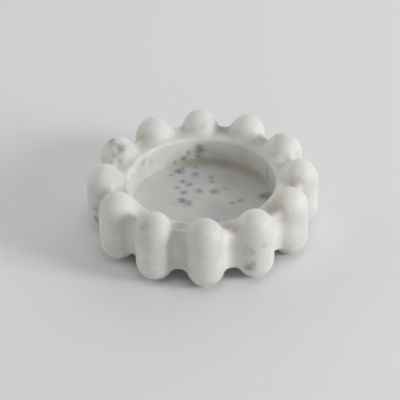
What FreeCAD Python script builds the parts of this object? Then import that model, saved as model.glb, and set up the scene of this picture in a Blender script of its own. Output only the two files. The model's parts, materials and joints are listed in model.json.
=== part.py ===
import FreeCAD, Part
import math
import os

# Ring dish carved from one block of stone: a closed chain of domed posts, joined by webs that are
# filleted into them, around a shallow round recess. It stands on the rounded lower ends of the
# posts, each of which is ground flat for a thin foot pad.
# The origin is on the table, on the axis of the recess, with +Z up and one post on +X.

# Driving dimensions, in millimetres
overall_diameter = 110.0        # across two opposite posts
body_height = 34.2              # stone alone, from the pad seats to the crowns
post_count = 12
post_diameter = 17.8            # the lower end of a post is a half-ball
dome_height = 10.4              # crown of a post above its straight wall
web_thickness = 4.4             # stone between two posts, clear of the fillets
web_fillet_radius = 4.3         # where a web runs into a post
web_top_reach = 0.6             # flat sides of a web, above the straight walls of the posts
web_foot_reach = 0.5            # flat sides of a web, below the straight walls of the posts
land_drop = 0.9                 # rim land below the top of a web
land_width = 2.4                # from the posts to the recess, at the narrowest
land_fillet_radius = 3.9        # where posts and webs run into the land
underside_rise = 1.7            # underside above the lower edge of a web
underside_fillet_radius = 0.8   # where posts and webs run into the underside
base_thickness = 5.3            # stone under the floor of the recess
floor_corner_radius = 0.8
rim_edge_radius = 2.0           # where the land turns down into the recess
pad_seat_diameter = 7.0         # flat ground on the lower end of each post
pad_margin = 0.5                # seat left bare around a pad
pad_thickness = 0.9
pad_edge_radius = 0.3

# Sizes that follow from them
pitch_angle = 360.0 / post_count
half_pitch = math.radians(pitch_angle / 2)
post_radius = post_diameter / 2
half_web = web_thickness / 2
post_circle_radius = overall_diameter / 2 - post_radius
half_chord = post_circle_radius * math.sin(half_pitch)
chord_distance = post_circle_radius * math.cos(half_pitch)
recess_radius = post_circle_radius - post_radius - land_width

seat_z = pad_thickness
crown_z = seat_z + body_height
seat_radius = pad_seat_diameter / 2
foot_centre_z = seat_z + math.sqrt(post_radius**2 - seat_radius**2)
dome_base_z = crown_z - dome_height
web_upper_z = dome_base_z + web_top_reach
web_lower_z = foot_centre_z - web_foot_reach
land_z = web_upper_z + half_web - land_drop
arch_z = web_lower_z - half_web
underside_z = arch_z + underside_rise
floor_z = underside_z + base_thickness

# The fillets of a web meet at most in its middle. The others stay inside them and on their walls.
fillet_room = 0.92
web_room = (half_chord**2 - post_radius**2 + half_web**2) / (2 * (post_radius - half_web))
web_fillet = min(web_fillet_radius, fillet_room * web_room)
land_fillet = min(land_fillet_radius, fillet_room * web_fillet)
underside_fillet = min(underside_fillet_radius, fillet_room * (underside_z - arch_z))
rim_edge = min(rim_edge_radius, fillet_room * land_width)

Z_AXIS = FreeCAD.Vector(0, 0, 1)
ORIGIN = FreeCAD.Vector(0, 0, 0)
TOLERANCE = 1e-3
CORNER_ANGLE = math.radians(3)


def point(x, z, y=0.0):
    return FreeCAD.Vector(x, y, z)


def line(start, end):
    return Part.LineSegment(start, end).toShape()


def arc_about(centre, radius, start_degrees, end_degrees):
    """Arc in the XZ plane, with angles counted from +X towards +Z."""
    points = []
    for degrees in (start_degrees, (start_degrees + end_degrees) / 2, end_degrees):
        turn = math.radians(degrees)
        points.append(centre + point(radius * math.cos(turn), radius * math.sin(turn)))
    return Part.Arc(*points).toShape()


def dome_arc():
    """Quarter ellipse from the straight wall of a post to its crown, exact as a weighted curve."""
    arc = Part.BezierCurve()
    arc.setPoles([point(post_radius, dome_base_z), point(post_radius, crown_z), point(0, crown_z)])
    arc.setWeight(2, math.sqrt(0.5))
    return arc.toShape()


def turned(edges):
    """Solid of revolution about Z from an outline in the XZ plane."""
    return Part.Face(Part.Wire(edges)).revolve(ORIGIN, Z_AXIS, 360)


def around_axis(shape, step):
    """Copy of a shape made on +X, turned to the given place in the ring."""
    copy = shape.copy()
    copy.rotate(ORIGIN, Z_AXIS, step * pitch_angle)
    return copy


def make_post():
    """One post on +X, from its pad seat to its crown."""
    seat_turn = -math.degrees(math.acos(seat_radius / post_radius))
    post = turned([
        line(point(0, seat_z), point(seat_radius, seat_z)),
        arc_about(point(0, foot_centre_z), post_radius, seat_turn, 0),
        line(point(post_radius, foot_centre_z), point(post_radius, dome_base_z)),
        dome_arc(),
        line(point(0, crown_z), point(0, seat_z)),
    ])
    post.translate(point(post_circle_radius, 0))
    return post


def make_web():
    """Plate from the post on +X to the next, with rounded upper and lower edges."""
    section = Part.Face(Part.Wire([
        line(point(-half_web, web_lower_z), point(-half_web, web_upper_z)),
        arc_about(point(0, web_upper_z), half_web, 180, 0),
        line(point(half_web, web_upper_z), point(half_web, web_lower_z)),
        arc_about(point(0, web_lower_z), half_web, 0, -180),
    ]))
    plate = section.extrude(point(0, 0, 2 * half_chord))
    plate.translate(point(chord_distance, 0, -half_chord))
    plate.rotate(ORIGIN, Z_AXIS, pitch_angle / 2)
    return plate


def make_recess():
    """Tool that cuts the recess, open at the top."""
    clear_z = crown_z + rim_edge_radius
    wall_z = floor_z + floor_corner_radius
    corner_x = recess_radius - floor_corner_radius
    return turned([
        line(point(0, clear_z), point(recess_radius, clear_z)),
        line(point(recess_radius, clear_z), point(recess_radius, wall_z)),
        arc_about(point(corner_x, wall_z), floor_corner_radius, 0, -90),
        line(point(corner_x, floor_z), point(0, floor_z)),
        line(point(0, floor_z), point(0, clear_z)),
    ])


def middle_of(edge):
    return edge.valueAt((edge.FirstParameter + edge.LastParameter) / 2)


def web_corners(chain):
    """Inside corners between posts and webs: every corner above the pad seats."""
    found = []
    for edge in chain.Edges:
        faces = chain.ancestorsOfType(edge, Part.Face)
        if len(faces) != 2 or edge.BoundBox.ZMax < seat_z + TOLERANCE:
            continue
        middle = middle_of(edge)
        normals = [face.normalAt(*face.Surface.parameter(middle)) for face in faces]
        if normals[0].getAngle(normals[1]) > CORNER_ANGLE:
            found.append(edge)
    return found


def level_edges(body, level):
    """Edges that lie flat at the given height."""
    return [edge for edge in body.Edges
            if edge.BoundBox.ZLength < TOLERANCE and abs(edge.BoundBox.ZMin - level) < TOLERANCE]


def rim_edges(body):
    """Upper edge of the recess, which rises a little at every post."""
    found = []
    for edge in body.Edges:
        middle = middle_of(edge)
        on_wall = abs(math.hypot(middle.x, middle.y) - recess_radius) < TOLERANCE
        upright = edge.BoundBox.ZLength > (land_z - floor_z) / 2
        if on_wall and middle.z > land_z - TOLERANCE and not upright:
            found.append(edge)
    return found


def make_body():
    post = make_post()
    web = make_web()
    pieces = []
    for step in range(post_count):
        pieces.append(around_axis(post, step))
        pieces.append(around_axis(web, step))
    chain = pieces[0].multiFuse(pieces[1:]).Solids[0]
    chain = chain.makeFillet(web_fillet, web_corners(chain))
    disc = Part.makeCylinder(chord_distance, land_z - underside_z, point(0, underside_z))
    body = chain.fuse(disc).Solids[0]
    body = body.makeFillet(underside_fillet, level_edges(body, underside_z))
    body = body.makeFillet(land_fillet, level_edges(body, land_z))
    body = body.cut(make_recess()).Solids[0]
    return body.makeFillet(rim_edge, rim_edges(body)).Solids[0]


def make_pad():
    """Thin disc under the post on +X, with its lower edge rounded."""
    pad_radius = seat_radius - pad_margin
    flat_radius = pad_radius - pad_edge_radius
    pad = turned([
        line(point(0, 0), point(flat_radius, 0)),
        arc_about(point(flat_radius, pad_edge_radius), pad_edge_radius, -90, 0),
        line(point(pad_radius, pad_edge_radius), point(pad_radius, seat_z)),
        line(point(pad_radius, seat_z), point(0, seat_z)),
        line(point(0, seat_z), point(0, 0)),
    ])
    pad.translate(point(post_circle_radius, 0))
    return pad


def main():
    os.makedirs("parts", exist_ok=True)
    body = make_body()
    body.exportStep("parts/dish_body.step")
    pad = make_pad()
    for step in range(post_count):
        around_axis(pad, step).exportStep("parts/foot_pad_%02d.step" % (step + 1))
    print("recess diameter %.2f, depth %.2f" % (2 * recess_radius, land_z - floor_z))
    print("land at %.2f, floor at %.2f, underside at %.2f" % (land_z, floor_z, underside_z))
    print("fillets: web %.2f, land %.2f, underside %.2f" % (web_fillet, land_fillet, underside_fillet))
    print("body valid %s, volume %.0f, faces %d" % (body.isValid(), body.Volume, len(body.Faces)))


main()
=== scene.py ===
import json
import math

import bpy
from mathutils import Matrix, Vector

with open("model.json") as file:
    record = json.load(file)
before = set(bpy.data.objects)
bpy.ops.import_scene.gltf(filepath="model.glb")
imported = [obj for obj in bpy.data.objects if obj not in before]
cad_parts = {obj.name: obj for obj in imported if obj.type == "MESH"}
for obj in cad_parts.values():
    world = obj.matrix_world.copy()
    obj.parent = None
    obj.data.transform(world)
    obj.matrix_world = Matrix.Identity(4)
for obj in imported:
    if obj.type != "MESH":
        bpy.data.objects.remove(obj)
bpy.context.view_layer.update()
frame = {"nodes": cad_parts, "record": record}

MM = 0.001
PER_METRE = 1000.0               # metres to millimetres
FRAME_PIXELS = 400

# Sockets of a Mix node that mixes colours
MIX_SHARE = 0
MIX_FIRST = 6
MIX_SECOND = 7
MIX_RESULT = 2

# Camera, as fitted to the outlines in the photograph
camera_distance = 855.0 * MM
camera_azimuth = -0.80           # degrees, round the dish from the front
camera_elevation = 35.25         # degrees above the horizon
camera_roll = -1.09              # degrees
camera_target = Vector((-1.32, 0.02, 14.21)) * MM
focal_pixels = 1787.4
sensor_width = 36.0              # millimetres, as the camera's lens is
nearest_seen = 0.01              # metres
farthest_seen = 20.0

# Soft square lights: azimuth and elevation in degrees, size in metres, power in watts
light_distance = 1.3             # metres
lights = {
    "key": (66.5, 21.5, 0.4, 10.0),
    "left fill": (-108, 28, 1.1, 3.6),
    "back fill": (175, 26, 1.1, 3.2),
    "right fill": (125, 50, 0.9, 2.7),
    "top": (0, 80, 0.6, 2.8),
}

# Light of the room
room_strength = 1.44
room_tint = (1.0, 1.013, 0.955)
room_levels = [                  # height, where 0 is the horizon and 1 is straight up, and share
    (0.0, 0.0), (0.16, 1.0), (0.34, 0.52), (0.6, 0.0),
]

# Colours, linear
marble_pale = (0.655, 0.649, 0.636)
marble_grey = (0.590, 0.589, 0.580)
# Lighter tone of the stone and painted light, for the broad lighter places
pale_tone_and_painted_light_colour = (0.770, 0.765, 0.754)
# Darker tone of the stone and painted shade, for the broad darker places
grey_tone_and_painted_shade_colour = (0.510, 0.514, 0.504)
vein_grey = (0.430, 0.434, 0.430)
fleck_grey = (0.120, 0.127, 0.135)
# Brown of the stains and of the painted warm shade in the crevices
stain_and_painted_shade_brown = (0.46, 0.39, 0.28)
# Brown of the painted shade along the corner of the recess floor
painted_corner_shade_brown = (0.43, 0.385, 0.300)
pad_colour = (0.66, 0.66, 0.64)
floor_colour = (0.790, 0.779, 0.793)

# Pattern of the stone. A scale is in turns of the noise for each millimetre, a detail is how many
# finer layers the noise has, and a swirl is how far it is distorted. A range is where the noise
# starts to show and where it shows in full, and a share is how much it then shows.
noise_middle = 0.5
cloud_scale = 0.045
cloud_detail = 4.0
cloud_swirl = 0.6
cloud_range = (0.42, 0.66)
vein_scale = 0.05
vein_detail = 3.0
vein_swirl = 1.6
vein_half_width = 0.05           # in values of the noise
vein_patch_scale = 0.04
vein_patch_detail = 2.0
vein_patch_range = (0.50, 0.68)
vein_share = 0.35
wisp_stretch = (0.08, 0.08, 0.55)    # scale along X, Y and Z
wisp_detail = 3.0
wisp_swirl = 0.4
wisp_range = (0.54, 0.78)
wisp_share = 0.34
ragged_scale = 0.32              # ragged edges of the spots below
ragged_detail = 2.0
ragged_reach = 3.4               # millimetres
spot_fade = 1.9                  # a spot ends at this many of its radii

# Surface of the stone
grain_scale = 1.6
grain_detail = 4.0
grain_range = (0.3, 0.7)
roughness_range = (0.44, 0.56)
grain_strength = 0.25
grain_depth = 0.05 * MM
tool_scale = 0.17
tool_swirl = 3.0
tool_swirl_detail = 2.0
tool_swirl_scale = 0.15
tool_strength = 0.30
tool_depth = 0.12 * MM
stone_specular = 0.35
stone_depth = 3.0 * MM           # how far light goes into the stone
stone_depth_share = 0.22
stone_depth_colour = (1.0, 0.85, 0.7)

# Surface of the foot pads
pad_grain_scale = 2.5
pad_grain_detail = 3.0
pad_grain_strength = 0.3
pad_grain_depth = 0.03 * MM
pad_roughness = 0.55
pad_depth = 1.5 * MM
pad_depth_share = 0.5
pad_depth_colour = (1.0, 1.0, 0.95)

# Floor under the dish
floor_half_width = 3.0           # metres
floor_roughness = 0.8
floor_specular = 0.2

# Spots on the stone, some of them painted light or shade, in millimetres: where each one is, its
# radius and how strong it is
recess_radius = 34.8
floor_z = 13.4                   # floor of the recess
floor_flecks = [                 # grey, on the floor of the recess: x, y
    (-11, 26, 1.9, 0.75), (-9, 28, 1.3, 0.6), (-15, 23, 1.1, 0.4), (-3, 29, 1.3, 0.4),
    (-3, 23, 1.5, 0.5), (-9, 17, 1.5, 0.7), (-6, 14, 1.5, 0.6), (-12, 12, 1.2, 0.6),
    (-9, 8, 1.6, 0.65), (-2, 9, 1.7, 0.55), (-10, 1, 1.9, 0.73), (-7, -1, 1.9, 0.6),
    (5, 20, 1.3, 0.5), (5, 16, 1.2, 0.55), (6, 8, 2.0, 0.6), (11, 10, 1.4, 0.35),
    (18, 0, 1.5, 0.4), (14, -2, 1.3, 0.4), (30, 3, 2.5, 0.79),
]
wall_flecks = [                  # grey, on the wall of the recess: degrees from +X, height
    (91, 20.0, 2.6, 0.76), (92, 16.2, 1.5, 0.7), (100, 18.5, 1.3, 0.6), (104, 15.7, 1.3, 0.78),
    (112, 14.7, 1.2, 0.45), (25, 20.5, 1.1, 0.6), (23, 17.5, 1.1, 0.55), (144, 23.4, 1.3, 0.4),
    (135, 20.2, 1.2, 0.2), (162, 22.5, 1.2, 0.35),
]
post_flecks = [                  # grey, on the posts: x, y, z, as in the lists below
    (-43, 23, 34, 1.6, 0.6), (-39, 18, 33, 2.0, 0.6), (-42, 16, 31, 1.2, 0.33),
    (-39, 14, 28, 1.2, 0.28), (-42, 20, 34, 1.1, 0.32), (-38, 20, 34, 1.0, 0.28),
    (-38, 17, 32, 1.1, 0.4), (-27, -44, 32, 2.0, 0.2), (20, -48, 10, 1.9, 0.6),
    (22, -49, 12, 1.6, 0.45), (21, -49, 19, 1.4, 0.25), (27, -48, 22, 1.5, 0.25),
    (2, 40, 31, 1.5, 0.2), (-51, -8, 10, 1.8, 0.6), (-51, -8, 16, 1.6, 0.3),
]
stain_and_painted_shade_spots = [                       # brown: painted warm shade in the crevices, partly real stain, and a faint painted shade over the recess floor
    (33, -27, 28, 5.0, 0.6), (12, -41, 28, 3.3, 0.75), (-11, -37, 27, 4.0, 0.4),
    (-29, 33, 28, 4.5, 0.45), (30, 30, 27, 3.5, 0.3), (10, 40, 27, 4.0, 0.3),
    (44, -9, 28, 3.5, 0.35), (22, 4, 13, 13.0, 0.14),
]
pale_tone_and_painted_light_spots = [                  # broad lighter places: partly lighter tone of the stone, partly painted light
    (-47, -5, 33, 6, 0.6), (-39, -29, 32, 7, 0.5), (-45, 17, 30, 4, 0.7), (-27, 32, 31, 7, 0.5),
    (-1, 43, 34, 5, 0.8), (-7, 37, 26, 8, 0.6), (29, 33, 28, 4, 0.7), (40, 13, 27, 4, 0.6),
    (38, -28, 33, 7, 0.8), (36, -32, 17, 6, 0.8), (11, -46, 25, 4, 0.9), (11, -45, 13, 6, 0.7),
    (-33, -34, 18, 7, 0.35), (44, -3, 32, 6, 0.5), (21, -41, 33, 6, 0.35), (21, 35, 33, 5, 0.4),
    (14, 33, 23, 6, 0.4),
]
grey_tone_and_painted_shade_spots = [                  # broad darker places: partly darker tone of the stone, partly painted shade, as on the recess floor
    (-25, -47, 29, 7, 0.6), (-13, -45, 23, 6, 0.6), (-13, -45, 11, 6, 0.6), (-3, -54, 27, 7, 0.4),
    (27, -47, 27, 7, 0.4), (46, -29, 24, 6, 0.4), (52, -7, 26, 6, 0.4), (-34, 17, 29, 5, 0.5),
    (-39, -1, 31, 5, 0.5), (-48, -24, 29, 4, 0.7), (10, 43, 28, 5, 0.6), (25, 14, 13, 12, 0.55),
    (-28, 17, 19, 7, 0.35), (-6, 8, 13, 7, 0.35), (14, -13, 13, 7, 0.3),
]

# Painted brown shade along the corner of the recess floor, strongest at one side of the recess
painted_corner_shade_middle = 68         # degrees from +X
painted_corner_shade_start = 0.58        # where it starts along that direction, in recess radii
painted_corner_shade_full = 0.86         # where it has its full strength
painted_corner_shade_inset = 1.3         # millimetres from the wall to where it is at its strongest
painted_corner_shade_reach = 6.4         # millimetres to where it ends on the floor
painted_corner_shade_squeeze = 2.6       # how much sooner it ends on the wall than on the floor
painted_corner_shade_share = 0.8


def direction(azimuth, elevation):
    """Unit vector by degrees. Azimuth 0 is over the camera, and 90 is on the right."""
    turn = math.radians(azimuth)
    rise = math.radians(elevation)
    level = math.cos(rise)
    return Vector((math.sin(turn) * level, -math.cos(turn) * level, math.sin(rise)))


def linked(name, data):
    """New object in the scene."""
    item = bpy.data.objects.new(name, data)
    bpy.context.scene.collection.objects.link(item)
    return item


def make_camera():
    back = direction(camera_azimuth, camera_elevation)
    data = bpy.data.cameras.new("camera")
    data.sensor_width = sensor_width
    data.lens = sensor_width * focal_pixels / FRAME_PIXELS
    data.clip_start = nearest_seen
    data.clip_end = farthest_seen
    camera = linked("camera", data)
    turn = (-back).to_track_quat("-Z", "Y").to_matrix()
    roll = Matrix.Rotation(math.radians(camera_roll), 3, "Z")
    place = Matrix.Translation(camera_target + back * camera_distance)
    camera.matrix_world = place @ (turn @ roll).to_4x4()
    bpy.context.scene.camera = camera


def make_lights():
    """Area lights, all at one distance and aimed at the dish."""
    for name, (azimuth, elevation, size, power) in lights.items():
        towards = direction(azimuth, elevation)
        data = bpy.data.lights.new(name, "AREA")
        data.size = size
        data.energy = power
        light = linked(name, data)
        light.location = towards * light_distance
        light.rotation_euler = towards.to_track_quat("Z", "Y").to_euler()


def add(tree, kind, inputs=None, **settings):
    """New node. An input is either another node's socket or a constant."""
    node = tree.nodes.new("ShaderNode" + kind)
    for name, value in settings.items():
        setattr(node, name, value)
    for key, value in (inputs or {}).items():
        if isinstance(value, bpy.types.NodeSocket):
            tree.links.new(value, node.inputs[key])
        else:
            node.inputs[key].default_value = value
    return node


def number(tree, operation, *values):
    """Result of a sum with numbers."""
    return add(tree, "Math", dict(enumerate(values)), operation=operation).outputs["Value"]


def vector(tree, operation, *values):
    """Result of a sum with vectors that gives a vector."""
    return add(tree, "VectorMath", dict(enumerate(values)), operation=operation).outputs["Vector"]


def measure(tree, operation, *values):
    """Result of a sum with vectors that gives a number."""
    return add(tree, "VectorMath", dict(enumerate(values)), operation=operation).outputs["Value"]


def rgba(colour):
    return (*colour, 1)


def make_world():
    """Room that is brightest low above the horizon and dark overhead."""
    world = bpy.data.worlds.new("studio")
    bpy.context.scene.world = world
    world.use_nodes = True
    tree = world.node_tree
    looking = add(tree, "TexCoord").outputs["Generated"]
    height = add(tree, "SeparateXYZ", {0: looking}).outputs["Z"]
    ramp = add(tree, "ValToRGB", {"Fac": height})
    stops = ramp.color_ramp.elements
    while len(stops) < len(room_levels):
        stops.new(0.5)               # between the two that a ramp starts with
    for stop, (position, level) in zip(stops, room_levels):
        stop.position = position
        stop.color = rgba(level * share for share in room_tint)
    background = tree.nodes["Background"]
    tree.links.new(ramp.outputs["Color"], background.inputs["Color"])
    background.inputs["Strength"].default_value = room_strength


def new_material(name):
    material = bpy.data.materials.new(name)
    material.use_nodes = True
    return material, material.node_tree, material.node_tree.nodes["Principled BSDF"]


def mixed(tree, share, first, second):
    """Colour that goes from first, which may be a socket, to second as share goes from 0 to 1."""
    inputs = {MIX_SHARE: share, MIX_FIRST: first, MIX_SECOND: rgba(second)}
    return add(tree, "Mix", inputs, data_type="RGBA").outputs[MIX_RESULT]


def stepped(tree, value, low, high, top=1.0):
    """Smooth step from 0 at low to top at high."""
    inputs = {"Value": value, "From Min": low, "From Max": high, "To Max": top}
    node = add(tree, "MapRange", inputs, interpolation_type="SMOOTHSTEP")
    return node.outputs["Result"]


def noise_node(tree, place, scale, detail, distortion=0.0):
    inputs = {"Vector": place, "Scale": scale, "Detail": detail, "Distortion": distortion}
    return add(tree, "TexNoise", inputs)


def noise(tree, place, scale, detail, distortion=0.0):
    return noise_node(tree, place, scale, detail, distortion).outputs["Fac"]


def bump(tree, height, strength, depth, under=None):
    """Normal of a surface with the given relief, over another relief if there is one."""
    inputs = {"Height": height, "Strength": strength, "Distance": depth}
    if under is not None:
        inputs["Normal"] = under
    return add(tree, "Bump", inputs).outputs["Normal"]


def place_in_millimetres(tree):
    coordinates = add(tree, "TexCoord").outputs["Object"]
    node = add(tree, "VectorMath", {0: coordinates, "Scale": PER_METRE}, operation="SCALE")
    return node.outputs["Vector"]


def spot_group():
    """Node group: the strongest so far of the spots, with one more spot taken in."""
    tree = bpy.data.node_groups.new("spot", "ShaderNodeTree")
    sockets = {"Before": "Float", "Place": "Vector", "Centre": "Vector",
               "Radius": "Float", "Strength": "Float"}
    for name, kind in sockets.items():
        tree.interface.new_socket(name, in_out="INPUT", socket_type="NodeSocket" + kind)
    tree.interface.new_socket("After", in_out="OUTPUT", socket_type="NodeSocketFloat")
    given = tree.nodes.new("NodeGroupInput").outputs
    gap = measure(tree, "DISTANCE", given["Place"], given["Centre"])
    inside = stepped(tree, number(tree, "DIVIDE", gap, given["Radius"]), spot_fade, 0.0)
    here = number(tree, "MULTIPLY", inside, given["Strength"])
    strongest = number(tree, "MAXIMUM", here, given["Before"])
    result = tree.nodes.new("NodeGroupOutput")
    tree.links.new(strongest, result.inputs["After"])
    return tree


def spots(tree, group, place, places):
    """How strong the spots are at a place, from 0 to 1."""
    strongest = 0.0
    for *centre, radius, strength in places:
        inputs = {"Before": strongest, "Place": place, "Centre": centre,
                  "Radius": radius, "Strength": strength}
        strongest = add(tree, "Group", inputs, node_tree=group).outputs["After"]
    return strongest


def all_flecks():
    """Every grey fleck by x, y, z, radius and strength."""
    places = [(x, y, floor_z, radius, strength) for x, y, radius, strength in floor_flecks]
    for degrees, height, radius, strength in wall_flecks:
        turn = math.radians(degrees)
        x = recess_radius * math.cos(turn)
        y = recess_radius * math.sin(turn)
        places.append((x, y, height, radius, strength))
    return places + post_flecks


def painted_corner_shade(tree, place):
    """How strong the painted brown shade along the corner of the recess floor is at a place, from 0
    to 1.
    """
    turn = math.radians(painted_corner_shade_middle)
    along = measure(tree, "DOT_PRODUCT", place, (math.cos(turn), math.sin(turn), 0))
    start = painted_corner_shade_start * recess_radius
    full = painted_corner_shade_full * recess_radius
    window = stepped(tree, along, start, full)
    x, y, z = add(tree, "SeparateXYZ", {0: place}).outputs
    flat = add(tree, "CombineXYZ", {"X": x, "Y": y}).outputs["Vector"]
    from_axis = measure(tree, "LENGTH", flat)
    height = number(tree, "MULTIPLY", z, painted_corner_shade_squeeze)
    section = add(tree, "CombineXYZ", {"X": from_axis, "Y": height}).outputs["Vector"]
    corner = (recess_radius - painted_corner_shade_inset, floor_z * painted_corner_shade_squeeze, 0)
    gap = measure(tree, "DISTANCE", section, corner)
    near = stepped(tree, gap, painted_corner_shade_reach, 0.0, painted_corner_shade_share)
    return number(tree, "MULTIPLY", near, window)


def veined_stone(tree, place):
    """Colour with broad clouds, thin, faint veins and level wisps along the tool marks."""
    clouds = stepped(tree, noise(tree, place, cloud_scale, cloud_detail, cloud_swirl), *cloud_range)
    colour = mixed(tree, clouds, rgba(marble_pale), marble_grey)
    seam = noise(tree, place, vein_scale, vein_detail, vein_swirl)
    off_seam = number(tree, "ABSOLUTE", number(tree, "SUBTRACT", seam, noise_middle))
    on_seam = stepped(tree, off_seam, vein_half_width, 0.0)
    patches = noise(tree, place, vein_patch_scale, vein_patch_detail)
    patch = stepped(tree, patches, *vein_patch_range, vein_share)
    colour = mixed(tree, number(tree, "MULTIPLY", on_seam, patch), colour, vein_grey)
    stretched = vector(tree, "MULTIPLY", place, wisp_stretch)
    wisps = noise(tree, stretched, 1.0, wisp_detail, wisp_swirl)    # the stretch holds the scale
    return mixed(tree, stepped(tree, wisps, *wisp_range, wisp_share), colour, vein_grey)


def marked_stone(tree, place, colour):
    """Colour with broad tones and painted light and shade, brown stains and painted shade in the
    crevices and along the recess corner, and grey flecks put on it, all with ragged edges.
    """
    shift = noise_node(tree, place, ragged_scale, ragged_detail).outputs["Color"]
    centred = vector(tree, "SUBTRACT", shift, (noise_middle, noise_middle, noise_middle))
    reach = (ragged_reach, ragged_reach, ragged_reach)
    ragged = vector(tree, "MULTIPLY_ADD", centred, reach, place)
    group = spot_group()
    # Broad places: partly tone of the stone, partly painted light and painted shade
    colour = mixed(tree, spots(tree, group, ragged, pale_tone_and_painted_light_spots), colour, pale_tone_and_painted_light_colour)
    colour = mixed(tree, spots(tree, group, ragged, grey_tone_and_painted_shade_spots), colour, grey_tone_and_painted_shade_colour)
    # Brown in the crevices and on the recess floor: painted warm shade, partly real stain
    colour = mixed(tree, spots(tree, group, ragged, stain_and_painted_shade_spots), colour, stain_and_painted_shade_brown)
    # Painted brown shade along the corner of the recess floor
    colour = mixed(tree, painted_corner_shade(tree, ragged), colour, painted_corner_shade_brown)
    return mixed(tree, spots(tree, group, ragged, all_flecks()), colour, fleck_grey)


def marble_material():
    material, tree, shader = new_material("marble")
    place = place_in_millimetres(tree)
    colour = marked_stone(tree, place, veined_stone(tree, place))
    tree.links.new(colour, shader.inputs["Base Color"])

    # Honed surface: fine grain and the faint turns of the carving tool
    grain = noise(tree, place, grain_scale, grain_detail)
    rough = add(tree, "MapRange", {
        "Value": grain,
        "From Min": grain_range[0],
        "From Max": grain_range[1],
        "To Min": roughness_range[0],
        "To Max": roughness_range[1],
    })
    tree.links.new(rough.outputs["Result"], shader.inputs["Roughness"])
    wave = add(tree, "TexWave", {
        "Vector": place,
        "Scale": tool_scale,
        "Distortion": tool_swirl,
        "Detail": tool_swirl_detail,
        "Detail Scale": tool_swirl_scale,
    }, bands_direction="Z")
    turns = wave.outputs["Fac"]
    tool_lines = bump(tree, turns, tool_strength, tool_depth)
    relief = bump(tree, grain, grain_strength, grain_depth, tool_lines)
    tree.links.new(relief, shader.inputs["Normal"])

    shader.inputs["Specular IOR Level"].default_value = stone_specular
    shader.inputs["Subsurface Weight"].default_value = stone_depth_share
    shader.inputs["Subsurface Radius"].default_value = stone_depth_colour
    shader.inputs["Subsurface Scale"].default_value = stone_depth
    return material


def pad_material():
    material, tree, shader = new_material("pad")
    grain = noise(tree, place_in_millimetres(tree), pad_grain_scale, pad_grain_detail)
    relief = bump(tree, grain, pad_grain_strength, pad_grain_depth)
    tree.links.new(relief, shader.inputs["Normal"])
    shader.inputs["Base Color"].default_value = rgba(pad_colour)
    shader.inputs["Roughness"].default_value = pad_roughness
    shader.inputs["Subsurface Weight"].default_value = pad_depth_share
    shader.inputs["Subsurface Radius"].default_value = pad_depth_colour
    shader.inputs["Subsurface Scale"].default_value = pad_depth
    return material


def make_floor():
    half = floor_half_width
    corners = [(-half, -half, 0), (half, -half, 0), (half, half, 0), (-half, half, 0)]
    mesh = bpy.data.meshes.new("floor")
    mesh.from_pydata(corners, [], [(0, 1, 2, 3)])
    floor = linked("floor", mesh)
    material, tree, shader = new_material("floor")
    shader.inputs["Base Color"].default_value = rgba(floor_colour)
    shader.inputs["Roughness"].default_value = floor_roughness
    shader.inputs["Specular IOR Level"].default_value = floor_specular
    mesh.materials.append(material)


def dress_nodes():
    finishes = {"marble": marble_material(), "pad": pad_material()}
    for subpart in frame["record"]["subparts"]:
        mesh = frame["nodes"][subpart["node"]].data
        mesh.materials.clear()
        mesh.materials.append(finishes[subpart["material_slot"]])


def main():
    bpy.context.scene.view_settings.view_transform = "Standard"
    make_camera()
    make_world()
    make_lights()
    make_floor()
    dress_nodes()


main()
